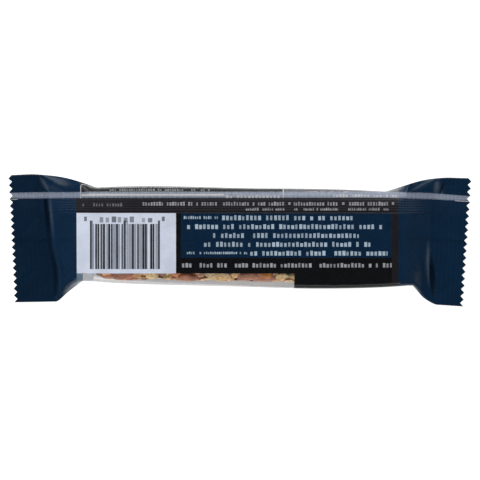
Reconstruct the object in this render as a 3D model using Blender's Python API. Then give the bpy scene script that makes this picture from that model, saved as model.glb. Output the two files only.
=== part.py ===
"""A granola bar sealed in its flow pack, lying on its front with the back of the pack up.

The pack is one folded film: a tube round the bar, crimped flat at both ends, with the long back
fin folded over on to the back. X runs along the pack, +Z is up, and the origin is on the surface
that the pack lies on, under the middle of the pack.
"""

import math

import bpy
import numpy as np

MM = 0.001

# Body of the pack, round the bar
BODY_HEIGHT = 14.0 * MM
FOLD_HEIGHT = 7.0 * MM  # the folds along both sides, and both crimps, run at this height
BODY_HALF_WIDTH = 17.35 * MM
END_NARROWING = 1.1 * MM  # how much nearer each side is at the ends of the body
BODY_OFFSET = 1.17 * MM  # the bar lies nearer the fin side of the pack,
BODY_SKEW = -0.0176  # and a little askew in it
CORNER_ROUND = 4.6 * MM
CROWN = 0.35 * MM  # rise of the back along its middle
BULGE = 0.5 * MM  # where the bar pushes the plain side out,
BULGE_AT = 33.0 * MM
BULGE_REACH = 17.0 * MM
BAR_ENDS = (-52.0 * MM, 59.3 * MM)

# Crimped ends, each pair from left to right
CRIMP_ROOTS = (-67.6 * MM, 68.2 * MM)
PACK_ENDS = (-81.2 * MM, 81.0 * MM)
CRIMP_HALF_WIDTH = 22.6 * MM
CRIMP_OFFSETS = (1.0 * MM, -0.3 * MM)
CRIMP_TURNS = (0.047, -0.065)  # how far each end is turned in the plane, in radians
CRIMP_THICKNESS = 0.40 * MM
RIB_PITCH = 1.56 * MM
RIB_HEIGHT = 0.10 * MM
TEETH = 18.5  # across an end
TOOTH_DEPTH = 1.2 * MM
CREASE_DEPTH = 0.35 * MM
CREASE_SWINGS = (1.9 * MM, 0.9 * MM)  # how far the crease behind a crimp wanders along X

# Where each side starts to flare out, and where it reaches the crimp's width
PLAIN_SIDE_FLARES = ((-56.9 * MM, -66.3 * MM), (61.0 * MM, 69.0 * MM))
FIN_SIDE_FLARES = ((-50.7 * MM, -73.5 * MM), (51.0 * MM, 75.0 * MM))

# Back fin, as shares of the film's width from the plain side fold to the fin side fold
FIN_ROOT = 0.690
FIN_PRINT_EDGE = 0.812  # beyond it the fin is a clear, unprinted margin
FIN_EDGE = 0.872
FIN_STEP = 0.0012  # share over which the free edge drops
FIN_THICKNESS = 0.35 * MM

# Print, as fields of colour: along X, and over the film from the pack's middle line
PANEL_X = (-58.1 * MM, 56.3 * MM)
LABEL_X = (-58.1 * MM, -22.6 * MM)
LABEL_OVER = (-11.95 * MM, 9.7 * MM)
FACTS_X = (-20.9 * MM, 54.0 * MM)
FACTS_OVER = (-6.4 * MM, 9.7 * MM)
WINDOW_X = (-56.0 * MM, 19.5 * MM)
WINDOW_OVER = -11.95 * MM
WINDOW_FRONT_SHARE = 0.85  # the window's reach over the front, from the plain side

# Colours, linear
COLOURS = {
    "film_navy": (0.006, 0.016, 0.036),
    "film_black": (0.009, 0.010, 0.012),
    "film_label": (0.60, 0.65, 0.76),
    "film_facts": (0.009, 0.022, 0.045),
    "film_margin": (0.25, 0.27, 0.33),
    "nut_skin": (0.26, 0.11, 0.055),
    "nut_tan": (0.50, 0.38, 0.26),
    "nut_cream": (0.64, 0.53, 0.40),
}
NUT_COLOURS = ("nut_skin", "nut_tan", "nut_skin", "nut_cream", "nut_tan")
ROUGHNESS = 0.38

LEFT, RIGHT = 0, 1


def smooth(start, end, value):
    """0 before start, 1 after end, an S curve between them; start may be the larger."""
    share = np.clip((value - start) / (end - start), 0.0, 1.0)
    return share * share * (3.0 - 2.0 * share)


def end_of(x):
    return LEFT if x < 0.0 else RIGHT


def fullness(x):
    """0 on a crimp, 1 where the bar fills the pack, and nearly straight between them."""
    end = end_of(x)
    share = (x - CRIMP_ROOTS[end]) / (BAR_ENDS[end] - CRIMP_ROOTS[end])
    share = min(max(share, 0.0), 1.0)
    eased = share * share * (3.0 - 2.0 * share)
    return 0.45 * share + 0.55 * eased


def body_middle(x):
    return BODY_OFFSET + BODY_SKEW * x


def body_half_width(x):
    along = min(x / BAR_ENDS[end_of(x)], 1.0)
    return BODY_HALF_WIDTH - END_NARROWING * along**4


def plain_side_body(x):
    bulge = BULGE * math.exp(-(((x - BULGE_AT) / BULGE_REACH) ** 2))
    return body_middle(x) - body_half_width(x) - bulge


def fin_side_body(x):
    return body_middle(x) + body_half_width(x)


def plain_side_fold(x):
    """Y of the fold along the plain side: it flares out almost straight."""
    end = end_of(x)
    start, stop = PLAIN_SIDE_FLARES[end]
    share = min(max((x - start) / (stop - start), 0.0), 1.0)
    body = plain_side_body(x)
    crimp = CRIMP_OFFSETS[end] - CRIMP_HALF_WIDTH
    return body + (crimp - body) * share * (1.25 - 0.25 * share)


def fin_side_fold(x):
    """Y of the fold along the fin side: it flares out in a long, easing curve."""
    end = end_of(x)
    start, stop = FIN_SIDE_FLARES[end]
    share = min(max((x - start) / (stop - start), 0.0), 1.0)
    body = fin_side_body(x)
    crimp = CRIMP_OFFSETS[end] + CRIMP_HALF_WIDTH
    return body + (crimp - body) * math.sin(share * math.pi / 2)


def section_corners(x):
    """The section at x: both side folds, and the two shoulders of the back and of the front."""
    full = fullness(x)
    skin = CRIMP_THICKNESS / 2
    top = FOLD_HEIGHT + skin + (BODY_HEIGHT - FOLD_HEIGHT - skin) * full
    foot = (FOLD_HEIGHT - skin) * (1.0 - full)
    folds = (plain_side_fold(x), fin_side_fold(x))
    bodies = (plain_side_body(x), fin_side_body(x))
    shoulders = []
    for fold, body, outward in zip(folds, bodies, (-1.0, 1.0)):
        flat = fold - outward * skin
        shoulders.append(body + (flat - body) * (1.0 - full) ** 2)
    return folds, shoulders, top, foot


def rounded_path(corners, radius, steps=10):
    """From fold to fold over two shoulders, with both shoulders rounded."""
    points = [np.array(corner) for corner in corners]
    path = [points[0]]
    for before, corner, after in zip(points, points[1:], points[2:]):
        back = before - corner
        ahead = after - corner
        reach = min(radius, 0.9 * np.linalg.norm(back), 0.9 * np.linalg.norm(ahead))
        start = corner + back / np.linalg.norm(back) * reach
        stop = corner + ahead / np.linalg.norm(ahead) * reach
        for step in range(steps + 1):
            t = step / steps
            path.append((1 - t) ** 2 * start + 2 * t * (1 - t) * corner + t * t * stop)
    path.append(points[-1])
    return np.array(path)


def at_shares(path, shares):
    """The points at these shares of a path's length, and how far along the path they lie."""
    steps = np.linalg.norm(np.diff(path, axis=0), axis=1)
    along = np.concatenate([[0.0], np.cumsum(steps)])
    wanted = shares * along[-1]
    y = np.interp(wanted, along, path[:, 0])
    z = np.interp(wanted, along, path[:, 1])
    return y, z, wanted


def fin_rise(shares):
    """Height of the folded fin over the back: it grows from its root and ends at a free edge."""
    on_fin = shares < FIN_EDGE - FIN_STEP / 2
    return FIN_THICKNESS * smooth(FIN_ROOT, FIN_ROOT + 0.05, shares) * on_fin


def tooth_cut(shares):
    """How far the zigzag edge stands back at these shares of the width."""
    phase = (shares * TEETH) % 1.0
    return TOOTH_DEPTH * (1.0 - np.abs(2.0 * phase - 1.0))


def crease_wander(x, y):
    """How far the film near a crimp's root is pulled along X, most of all at the crease."""
    end = end_of(x)
    swing = CREASE_SWINGS[end] * np.sin(-y / (15.0 * MM)) * np.exp(-((y / (26.0 * MM)) ** 2))
    return swing * math.exp(-(((x - CRIMP_ROOTS[end]) / (4.0 * MM)) ** 2))


def turned_end(x, y, at):
    """A crimp is turned a little about its root; the body stays as it is."""
    end = end_of(at)
    share = float(smooth(BAR_ENDS[end], CRIMP_ROOTS[end], at)) * CRIMP_TURNS[end]
    return x - share * y, y + share * (x - CRIMP_ROOTS[end])


def stations():
    """X and kind of each ring: the zigzag edge, ribs, the crease, the flare and the body."""
    rings = []
    for end, inward in ((LEFT, 1.0), (RIGHT, -1.0)):
        edge = PACK_ENDS[end]
        root = CRIMP_ROOTS[end]
        rings.append((edge, "teeth"))
        ribs = int((abs(root - edge) - 2.6 * MM) / (RIB_PITCH / 2))
        for rib in range(ribs + 1):
            x = edge + inward * (1.6 * MM + rib * RIB_PITCH / 2)
            rings.append((x, "peak" if rib % 2 else "valley"))
        rings.append((root - inward * 0.5 * MM, "flat"))
        rings.append((root, "crease"))
        rings.append((root + inward * 0.5 * MM, "flat"))
        for share in (0.16, 0.32, 0.48, 0.64, 0.82):
            rings.append((root + (BAR_ENDS[end] - root) * share, "flat"))
        rings.append((BAR_ENDS[end], "flat"))
    body = [PANEL_X[1], FACTS_X[1], FACTS_X[0], LABEL_X[1], WINDOW_X[1]]
    body += list(np.linspace(BAR_ENDS[LEFT], LABEL_X[1], 10)[1:-1])
    body += list(np.linspace(FACTS_X[0], WINDOW_X[1], 12)[1:-1])
    body += list(np.linspace(WINDOW_X[1], FACTS_X[1], 5)[1:-1])
    rings += [(float(x), "flat") for x in body]
    rings.append((PANEL_X[LEFT], "flat"))
    return sorted(rings)


def film_sheet(x, kind, back, shares):
    """One face of the pack at x: points from the plain side fold to the fin side fold."""
    folds, shoulders, top, foot = section_corners(x)
    height = top if back else foot
    corners = [
        (folds[0], FOLD_HEIGHT),
        (shoulders[0], height),
        (shoulders[1], height),
        (folds[1], FOLD_HEIGHT),
    ]
    full = fullness(x)
    radius = CORNER_ROUND * (0.3 + 0.7 * full)
    y, z, along = at_shares(rounded_path(corners, radius), shares)
    over = along - np.interp(0.0, y, along)
    at = np.full(len(shares), x)
    if back:
        crown = 1.0 - ((y - body_middle(x)) / body_half_width(x)) ** 2
        z = z + CROWN * full * np.clip(crown, 0.0, 1.0) + fin_rise(shares)
    z = z + RIB_HEIGHT * ((kind == "peak") - 1.0 * (kind == "valley"))
    z = z - CREASE_DEPTH * (kind == "crease")
    inward = 1.0 if end_of(x) == LEFT else -1.0
    at = at + inward * tooth_cut(shares) * (kind == "teeth") + crease_wander(x, y)
    at, y = turned_end(at, y, x)
    return list(zip(at, y, z)), over


def field_name(x, over, share, back, draw):
    """The colour field at a place on the film."""
    if back and FIN_PRINT_EDGE < share < FIN_EDGE - FIN_STEP:
        return "film_margin"
    in_window = over < WINDOW_OVER if back else share < WINDOW_FRONT_SHARE
    if WINDOW_X[0] < x < WINDOW_X[1] and in_window:
        return NUT_COLOURS[draw.integers(len(NUT_COLOURS))]
    if not PANEL_X[0] < x < PANEL_X[1]:
        return "film_navy"
    in_label = LABEL_X[0] < x < LABEL_X[1] and LABEL_OVER[0] < over < LABEL_OVER[1]
    if back and in_label:
        return "film_label"
    in_facts = FACTS_X[0] < x < FACTS_X[1] and FACTS_OVER[0] < over < FACTS_OVER[1]
    if back and in_facts:
        return "film_facts"
    return "film_black"


def build_loft():
    """Points, faces and the colour field of each face, for the closed pack."""
    even = np.arange(int(2 * TEETH) + 1) / (2 * TEETH)
    shares = np.unique(np.concatenate([even, [FIN_EDGE - FIN_STEP, FIN_EDGE]]))
    count = len(shares)
    around = 2 * count - 2
    draw = np.random.default_rng(11)
    points, overs, rings = [], [], stations()
    for x, kind in rings:
        back, over = film_sheet(x, kind, True, shares)
        front, _ = film_sheet(x, kind, False, shares)
        points += back + front[1:-1][::-1]
        overs.append(over)

    def slot(column):
        """Where on the ring a step lies: the share and face of the film half way along it."""
        if column < count - 1:
            return (shares[column] + shares[column + 1]) / 2, True
        place = around - column
        return (shares[place] + shares[place - 1]) / 2, False

    faces, fields = [], []
    for ring in range(len(rings) - 1):
        x = (rings[ring][0] + rings[ring + 1][0]) / 2
        for column in range(around):
            here = ring * around + column
            beside = ring * around + (column + 1) % around
            faces.append((here, here + around, beside + around, beside))
            share, back = slot(column)
            over = np.interp(share, shares, overs[ring])
            fields.append(field_name(x, over, share, back, draw))
    for ring, order in ((0, 1), (len(rings) - 1, -1)):
        first = ring * around
        for column in range(count - 1):
            below = (around - column) % around
            corner = [first + column, first + column + 1, first + around - column - 1, first + below]
            loop = list(dict.fromkeys(corner))
            faces.append(tuple(loop[::order]))
            fields.append("film_navy")
    return points, faces, fields


def material(name, colour):
    made = bpy.data.materials.new(name)
    made.use_nodes = True
    shader = made.node_tree.nodes["Principled BSDF"]
    shader.inputs["Base Color"].default_value = (*colour, 1.0)
    shader.inputs["Roughness"].default_value = ROUGHNESS
    made.diffuse_color = (*colour, 1.0)
    return made


def build():
    for old in list(bpy.data.objects):
        bpy.data.objects.remove(old, do_unlink=True)
    points, faces, fields = build_loft()
    points = np.array(points, dtype=float)
    low, high = points.min(axis=0), points.max(axis=0)
    points -= [(low[0] + high[0]) / 2, (low[1] + high[1]) / 2, low[2]]
    mesh = bpy.data.meshes.new("wrapper")
    mesh.from_pydata(points.tolist(), [], faces)
    names = list(COLOURS)
    for name in names:
        mesh.materials.append(material(name, COLOURS[name]))
    for face, field in zip(mesh.polygons, fields):
        face.material_index = names.index(field)
        face.use_smooth = True
    mesh.update()
    mesh.set_sharp_from_angle(angle=math.radians(50))
    wrapper = bpy.data.objects.new("wrapper", mesh)
    pack = bpy.data.collections.new("granola_bar")
    bpy.context.scene.collection.children.link(pack)
    pack.objects.link(wrapper)


build()
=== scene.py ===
"""A granola bar in its sealed flow pack, photographed from straight above the back of the pack.

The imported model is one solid. Here its film is made as thin sheets: the printed film, the clear
window and the folded back fin with its clear margin. The nut bar lies inside. Lengths are in
millimetres until a mesh is made. x runs along the pack, y across it, z up.
"""

import math

import bpy
import numpy as np
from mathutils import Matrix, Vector


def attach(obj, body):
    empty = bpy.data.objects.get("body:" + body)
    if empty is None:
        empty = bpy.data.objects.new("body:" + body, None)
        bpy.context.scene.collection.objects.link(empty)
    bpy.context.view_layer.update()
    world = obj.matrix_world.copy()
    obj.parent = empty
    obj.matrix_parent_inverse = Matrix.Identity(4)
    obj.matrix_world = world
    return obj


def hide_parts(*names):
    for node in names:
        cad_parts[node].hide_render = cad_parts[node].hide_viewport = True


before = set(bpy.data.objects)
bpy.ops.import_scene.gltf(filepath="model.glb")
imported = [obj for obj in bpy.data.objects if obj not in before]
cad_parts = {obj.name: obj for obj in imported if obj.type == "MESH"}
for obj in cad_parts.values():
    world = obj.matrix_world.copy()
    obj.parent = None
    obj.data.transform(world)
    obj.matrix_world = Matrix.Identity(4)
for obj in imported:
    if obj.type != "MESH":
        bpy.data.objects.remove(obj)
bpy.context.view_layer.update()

MM = 0.001
LEFT, RIGHT = 0, 1
BODY = "root"
SQUARE_CORNERS = ((-1, -1), (1, -1), (1, 1), (-1, 1))

# Body of the pack, round the bar
BODY_HEIGHT = 14.0
FOLD_HEIGHT = 7.0
BODY_HALF_WIDTH = 17.50
END_NARROWING = 1.1
PLAIN_END_NARROWINGS = (0.65, 1.1)
PLAIN_SIDE_SPREAD = 0.2
NARROWED_AT = (-52.0, 59.3)
BODY_OFFSET = 1.17
BODY_SKEW = -0.0176
CORNER_ROUND = 4.6
PLAIN_CORNER_ROUND = 2.5
CROWN = 0.35
BAR_ENDS = (-52.0, 57.0)

# Where each side's middle strays outward (or, if below 0, inward): how far, where and over what reach
PLAIN_SIDE_BULGE = (0.40, 22.0, 24.0)
FIN_SIDE_BULGE = (-0.26, 2.0, 20.0)

# Where the pack flares, the fold on the fin side rises, so that the back runs out flat to it
FIN_FOLD_RISE = 4.8
FIN_FOLD_POWER = 2.6

# Crimped ends, each pair from left to right
CRIMP_ROOTS = (-67.6, 68.2)
PACK_ENDS = (-81.2, 81.0)
CRIMP_HALF_WIDTH = 22.6
CRIMP_OFFSETS = (1.0, -0.3)
CRIMP_TURNS = (0.047, -0.065)
CRIMP_THICKNESS = 0.30
RIB_PITCH = 1.56
RIB_HEIGHT = 0.05
TEETH = 18.5
TOOTH_DEPTH = 1.2
TOOTH_REACH = 2.2
CREASE_BENDS = ((-12.0, 7.5, 1.1), (-16.0, 7.0, -0.9))
CREASE_LEANS = (0.05, 0.0)
CREASE_REACH = 4.0

# Where each side starts to flare out, and where it reaches the crimp's width
PLAIN_SIDE_FLARES = ((-56.0, -67.6), (61.6, 71.6))
PLAIN_SIDE_POWERS = (1.2, 1.3)
FIN_SIDE_FLARES = ((-50.5, -74.4), (51.7, 74.0))

# The left crimp is wider on the plain side at its root, the right one on the fin side at its end
LEFT_ROOT_SPREAD = 0.45
RIGHT_END_SPREAD = 0.38

# Back fin: y of its root, of the edge of its print and of its free edge, at places along x
FIN_ROOT = ((-82.0, 9.3), (82.0, 9.0))
FIN_PRINT_EDGE = ((-82.0, 14.6), (-60.0, 14.7), (50.0, 14.75), (66.0, 14.4), (73.5, 14.0), (82.5, 13.85))
FIN_EDGE = ((-82.0, 16.7), (-69.0, 16.95), (-50.0, 17.0), (50.0, 17.0), (66.0, 16.7), (82.5, 15.4))
FIN_LIFT = 0.30
CRIMPED_FIN_LIFT = 0.14
FIN_ROOT_SINK = 0.06
FIN_SHEET = 0.12
FREE_EDGE_DIP = 0.10

# The crease where each crimp ends: how deep its groove is, and how high the ridge beside it
CREASE_GROOVES = (0.60, 0.04)
CREASE_RIDGES = (0.30, 0.02)
CREASE_HALF_WIDTH = 0.60
CREASE_RIDGE_AT = 1.35
RIDGE_MIDDLE = 0.66
RIDGE_REACH = 0.14

# The folded edge of the left gusset, which lies open to the side; a painted highlight stands for the light
# it catches
GUSSET_X = (-64.5, -54.9)
GUSSET_REACH = 1.9
GUSSET_WIDENS_X = (-62.5, -57.0)
GUSSET_WIDENING = 1.7

# Slow waves of slack film on the back: seed, pitch and height
SLACK_SEED = 3
SLACK_PITCH = 17.0
SLACK_HEIGHT = 0.12

# The lift or dip of the film at which its mark as raised or sunk is full
FULL_MARK = 0.5

# Pleats pulled into the back of the film: from x, y to x, y, then half width and height
PLEATS = (
    (-71.6, 23.4, -67.2, 16.0, 0.60, 0.34),
    (-69.0, 18.9, -62.0, 16.9, 0.90, 0.09),
    (60.0, 16.8, 68.2, 21.4, 0.55, 0.27),
    (70.6, 22.5, 69.6, 15.0, 1.00, 0.35),
    (73.2, 21.8, 71.2, 15.2, 0.45, -0.40),
    (67.0, 0.5, 67.4, -17.5, 0.80, 0.45),
    (67.8, -4.0, 69.0, -21.6, 0.80, -0.85),
)

# The mesh of the film; edges that turn by more than SHARP_FROM look sharp
SHARP_FROM = math.radians(55.0)
CORNER_STEPS = 14
TOOTH_STEPS = 8
CRIMP_ROW = 0.26
FLARE_ROW = 0.45
BODY_ROW = 1.0
ROW_OVERLAP = 3.0
CLOSEST_ROWS = 0.12
FIN_COLUMNS = 22
MARGIN_COLUMNS = 10

# Print: x along the pack, and v over the film from the pack's middle line
PANEL_X = (-57.9, 56.3)
LABEL_X = (-57.9, -22.6)
LABEL_V = (-11.95, 9.7)
FACTS_X = (-20.9, 53.9)
FACTS_V = (-6.4, 9.7)
WINDOW_X = (-55.95, 19.4)
WINDOW_V = -11.95
FRONT_WINDOW_SHARE = 0.82
BARS_X = (-53.1, -28.0)
BARS_V = (-10.4, 5.6)
GUARD_BARS_V = 6.8
# Over the empty end of the window and along its foot the clear film is greyer: painted shadow of the pack
# on the floor under it
EMPTY_WINDOW_X = (-52.2, -51.4)
WINDOW_SHADOW_V = (-26.0, -28.5, -34.0, -37.0)
BAR_ROWS = ((13, 0.90, 0.35, 0.60, 0.52), (27, 0.50, 0.45, 0.35, 0.97))
# From this x outward, a painted dark reflection runs along the film's middle line
DARK_REFLECTION_FROM = 60.0
NUTRITION_X = (-56.4, 15.4)
FRAME_TOP_V = 19.8
FRAME_ROUND = 1.0


def smooth(start, end, value):
    """0 before start, 1 after end, an S curve between them; start may be the larger."""
    share = np.clip((value - start) / (end - start), 0.0, 1.0)
    return share * share * (3.0 - 2.0 * share)


def straight_rise(x, start, end):
    """A straight rise from 0 at start to 1 at end, which lies further right."""
    return float(np.interp(x, (start, end), (0.0, 1.0)))


def share_between(start, stop, x):
    """How far x has come from start to stop, from 0 to 1; start may be the larger."""
    return min(max((x - start) / (stop - start), 0.0), 1.0)


def end_of(x):
    return LEFT if x < 0.0 else RIGHT


def fullness(x):
    """0 on a crimp, 1 where the bar fills the pack, and nearly straight between them."""
    end = end_of(x)
    share = share_between(CRIMP_ROOTS[end], BAR_ENDS[end], x)
    eased = share * share * (3.0 - 2.0 * share)
    return 0.7 * share + 0.3 * eased


def body_middle(x):
    return BODY_OFFSET + BODY_SKEW * x


def body_half_width(x):
    along = min(x / NARROWED_AT[end_of(x)], 1.0)
    return BODY_HALF_WIDTH - END_NARROWING * along**4


def bulge(x, height, at, reach):
    return height * math.exp(-(((x - at) / reach) ** 2))


def plain_side_body(x):
    end = end_of(x)
    along = min(x / NARROWED_AT[end], 1.0)
    reach = BODY_HALF_WIDTH + PLAIN_SIDE_SPREAD * (1.0 - along**8) + bulge(x, *PLAIN_SIDE_BULGE)
    return body_middle(x) - reach + PLAIN_END_NARROWINGS[end] * along**4


def fin_side_body(x):
    return body_middle(x) + body_half_width(x) + bulge(x, *FIN_SIDE_BULGE)


def plain_side_fold(x):
    end = end_of(x)
    share = share_between(*PLAIN_SIDE_FLARES[end], x)
    body = plain_side_body(x)
    crimp = CRIMP_OFFSETS[end] - CRIMP_HALF_WIDTH
    if end == LEFT:
        crimp -= LEFT_ROOT_SPREAD * straight_rise(x, PACK_ENDS[LEFT], CRIMP_ROOTS[LEFT])
    return body + (crimp - body) * (1.0 - (1.0 - share) ** PLAIN_SIDE_POWERS[end])


def fin_side_fold(x):
    end = end_of(x)
    share = share_between(*FIN_SIDE_FLARES[end], x)
    body = fin_side_body(x)
    crimp = CRIMP_OFFSETS[end] + CRIMP_HALF_WIDTH
    if end == RIGHT:
        crimp += RIGHT_END_SPREAD * straight_rise(x, CRIMP_ROOTS[RIGHT], PACK_ENDS[RIGHT])
    return body + (crimp - body) * math.sin(share * math.pi / 2)


def section_path(x, back):
    """The film's section at x, from the plain side fold over one face to the fin side fold."""
    full = fullness(x)
    skin = CRIMP_THICKNESS / 2
    top = FOLD_HEIGHT + skin + (BODY_HEIGHT - FOLD_HEIGHT - skin) * full
    foot = (FOLD_HEIGHT - skin) * (1.0 - full)
    height = top if back else foot
    folds = (plain_side_fold(x), fin_side_fold(x))
    bodies = (plain_side_body(x), fin_side_body(x))
    corners = [np.array((folds[0], FOLD_HEIGHT))]
    for fold, body, outward in zip(folds, bodies, (-1.0, 1.0)):
        flat = fold - outward * skin
        corners.append(np.array((body + (flat - body) * (1.0 - full) ** 2, height)))
    fold_rise = FIN_FOLD_RISE * math.sin(math.pi * full**FIN_FOLD_POWER)
    corners.append(np.array((folds[1], FOLD_HEIGHT + fold_rise)))
    path = [corners[0]]
    rounds = (PLAIN_CORNER_ROUND if back else CORNER_ROUND, CORNER_ROUND)
    for before, corner, after, round_off in zip(corners, corners[1:], corners[2:], rounds):
        behind = before - corner
        ahead = after - corner
        radius = round_off * (0.3 + 0.7 * full)
        reach = min(radius, 0.9 * np.linalg.norm(behind), 0.9 * np.linalg.norm(ahead))
        start = corner + behind / np.linalg.norm(behind) * reach
        stop = corner + ahead / np.linalg.norm(ahead) * reach
        for step in range(CORNER_STEPS + 1):
            t = step / CORNER_STEPS
            path.append((1 - t) ** 2 * start + 2 * t * (1 - t) * corner + t * t * stop)
    path.append(corners[-1])
    return np.array(path)


def path_lengths(path):
    steps = np.linalg.norm(np.diff(path, axis=0), axis=1)
    return np.concatenate([[0.0], np.cumsum(steps)])


def plain_side_run(x):
    """Film length at x from the plain side fold up to the pack's middle line, and in all."""
    path = section_path(x, True)
    along = path_lengths(path)
    return float(np.interp(0.0, path[:, 0], along)), float(along[-1])


BODY_RUN, BODY_SPAN = plain_side_run(0.0)


def share_of(v):
    """The share of the film's width, at the middle of the pack, that lies at v over the film."""
    return (v + BODY_RUN) / BODY_SPAN


def film_shares():
    """Where the mesh's columns run over one face of the film, with one on the window's edge."""
    even = np.arange(int(TOOTH_STEPS * TEETH) + 1) / (TOOTH_STEPS * TEETH)
    edge = share_of(WINDOW_V)
    near = np.abs(even - edge)
    teeth_points = np.isclose((even * TEETH * 2) % 1.0, 0.0)
    kept = even[(near > 0.25 / (TOOTH_STEPS * TEETH)) | teeth_points]
    return np.unique(np.append(kept, edge))


def shares_at(x, shares, back):
    """Columns keep to the film: level with the print on the body, with the teeth on a crimp."""
    if not back:
        return shares
    level = float(smooth(CRIMP_ROOTS[end_of(x)], 0.9 * PANEL_X[end_of(x)], x))
    run, span = plain_side_run(x)
    on_print = (shares * BODY_SPAN - BODY_RUN + run) / span
    ease = smooth(0.0, 0.12, shares) * smooth(1.0, 0.88, shares)
    return shares + (on_print - shares) * level * ease


def film_rows():
    """x of each row of the mesh, closer together over the ribs and creases."""
    rows = []
    for end, inward in ((LEFT, 1.0), (RIGHT, -1.0)):
        edge = PACK_ENDS[end]
        flare = CRIMP_ROOTS[end] + inward * ROW_OVERLAP
        body = BAR_ENDS[end] + inward * ROW_OVERLAP
        rows += list(np.arange(edge, flare, inward * CRIMP_ROW))
        rows += list(np.arange(flare, body, inward * FLARE_ROW))
    rows += list(np.arange(BAR_ENDS[LEFT] + ROW_OVERLAP, BAR_ENDS[RIGHT] - ROW_OVERLAP, BODY_ROW))
    rows = [x for x in rows if min(abs(x - edge) for edge in WINDOW_X) > CLOSEST_ROWS]
    return np.array(sorted([*rows, *WINDOW_X]))


def tooth_cut(shares):
    phase = (shares * TEETH) % 1.0
    return TOOTH_DEPTH * (1.0 - np.abs(2.0 * phase - 1.0))


def crease_wander(x, y):
    """How far the crease at a crimp's inner end, and the film near it, strays from straight."""
    end = end_of(x)
    at, reach, swing = CREASE_BENDS[end]
    wander = swing * np.exp(-(((y - at) / reach) ** 2)) - CREASE_LEANS[end] * y
    return wander * math.exp(-(((x - CRIMP_ROOTS[end]) / CREASE_REACH) ** 2))


def turned_end(x, y, at):
    """Points near at, turned with the crimp at that end."""
    end = end_of(at)
    share = float(smooth(BAR_ENDS[end], CRIMP_ROOTS[end], at)) ** 2 * CRIMP_TURNS[end]
    return x - share * y, y + share * (x - CRIMP_ROOTS[end])


def pleat_lift(x, y):
    """How far each pleat raises the back of the film; a pleat is widest and highest half way."""
    lift = np.zeros(len(x))
    for x0, y0, x1, y1, half_width, height in PLEATS:
        run = np.array((x1 - x0, y1 - y0))
        length = np.linalg.norm(run)
        along = ((x - x0) * run[0] + (y - y0) * run[1]) / length
        across = ((y - y0) * run[0] - (x - x0) * run[1]) / length
        swell = np.sin(math.pi * np.clip(along / length, 0.0, 1.0))
        lift += height * swell * np.exp(-((across / (half_width * (0.35 + 0.65 * swell))) ** 2))
    return lift


def crease_lift(x, shares):
    """The groove at a crimp's inner end and the ridge inward of it, before the film is turned."""
    end = end_of(x)
    inward = (x - CRIMP_ROOTS[end]) * (1.0 if end == LEFT else -1.0)
    groove = math.exp(-((inward / CREASE_HALF_WIDTH) ** 2))
    ridge = math.exp(-(((inward - CREASE_RIDGE_AT) / (0.8 * CREASE_HALF_WIDTH)) ** 2))
    strength = (0.75 + 0.25 * np.sin(9.0 * shares + 1.0)) * smooth(-0.12, 0.30, shares)
    strength *= smooth(0.90, 0.80, shares)
    ridge *= 0.2 + 0.8 * np.exp(-(((shares - RIDGE_MIDDLE) / RIDGE_REACH) ** 2))
    return (CREASE_RIDGES[end] * ridge - CREASE_GROOVES[end] * groove) * strength


def soft_waves(x, y, seed, pitch):
    """Slow, low waves of slack film, between -1 and 1."""
    draw = np.random.default_rng(seed)
    total = np.zeros(len(x))
    for _ in range(5):
        angle = draw.uniform(0.0, math.pi)
        wave = 2 * math.pi / (pitch * draw.uniform(0.7, 1.6))
        phase = draw.uniform(0.0, 2 * math.pi)
        total += np.sin(wave * (x * math.cos(angle) + y * math.sin(angle)) + phase)
    return total / 5.0


def painted_gusset_highlight(x, wanted, back):
    """How strong the painted highlight on the left gusset's folded edge is: widest next to the body, dimmer
    on the fold.
    """
    reach = GUSSET_REACH * (1.0 + GUSSET_WIDENING * float(smooth(*GUSSET_WIDENS_X, x)))
    from_fold = wanted if back else wanted + 0.5 * reach
    sheen = smooth(GUSSET_X[0], GUSSET_X[0] + 2.5, x) * smooth(GUSSET_X[1], GUSSET_X[1] - 1.0, x)
    return sheen * np.exp(-((from_fold / reach) ** 6)) * (0.3 + 0.7 * smooth(0.0, 1.0, from_fold))


def film_strip(x, back, shares):
    """One face of the film at x: its points, v over the film, how sunk and raised each is, and its painted
    highlight.
    """
    path = section_path(x, back)
    along = path_lengths(path)
    wanted = shares_at(x, shares, back) * along[-1]
    y = np.interp(wanted, along, path[:, 0])
    z = np.interp(wanted, along, path[:, 1])
    run = plain_side_run(x)[0]
    full = fullness(x)
    end = end_of(x)
    inward = 1.0 if end == LEFT else -1.0
    if back:
        v = wanted - run
        crown = 1.0 - ((y - body_middle(x)) / body_half_width(x)) ** 2
        z = z + CROWN * full * np.clip(crown, 0.0, 1.0)
    else:
        v = -run - wanted
    from_end = abs(x - PACK_ENDS[end])
    crimp = abs(CRIMP_ROOTS[end] - PACK_ENDS[end])
    on_crimp = float(smooth(crimp, crimp - 1.2, from_end) * smooth(0.4, 1.4, from_end))
    z = z + RIB_HEIGHT * on_crimp * math.cos(2 * math.pi * from_end / RIB_PITCH)
    at = np.full(len(shares), x)
    cut = tooth_cut(shares) * float(smooth(TOOTH_REACH, 0.0, from_end))
    at = at + inward * cut + crease_wander(x, y)
    at, y = turned_end(at, y, x)
    inside = smooth(0.0, 0.05, shares) * smooth(1.0, 0.95, shares)
    lift = (pleat_lift(at, y) + crease_lift(x, shares)) * inside
    if back:
        z = z + lift + SLACK_HEIGHT * soft_waves(at, y, SLACK_SEED, SLACK_PITCH) * inside * full
    elif full < 1.0:
        z = z + np.minimum(lift, 0.0) * (1.0 - full)
    sunk = np.clip(-lift / FULL_MARK, 0.0, 1.0)
    raised = np.clip(lift / FULL_MARK, 0.0, 1.0)
    marks = np.stack([sunk, raised, painted_gusset_highlight(x, wanted, back)], axis=1)
    return np.stack([at, y, z], axis=1), v, marks


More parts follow.
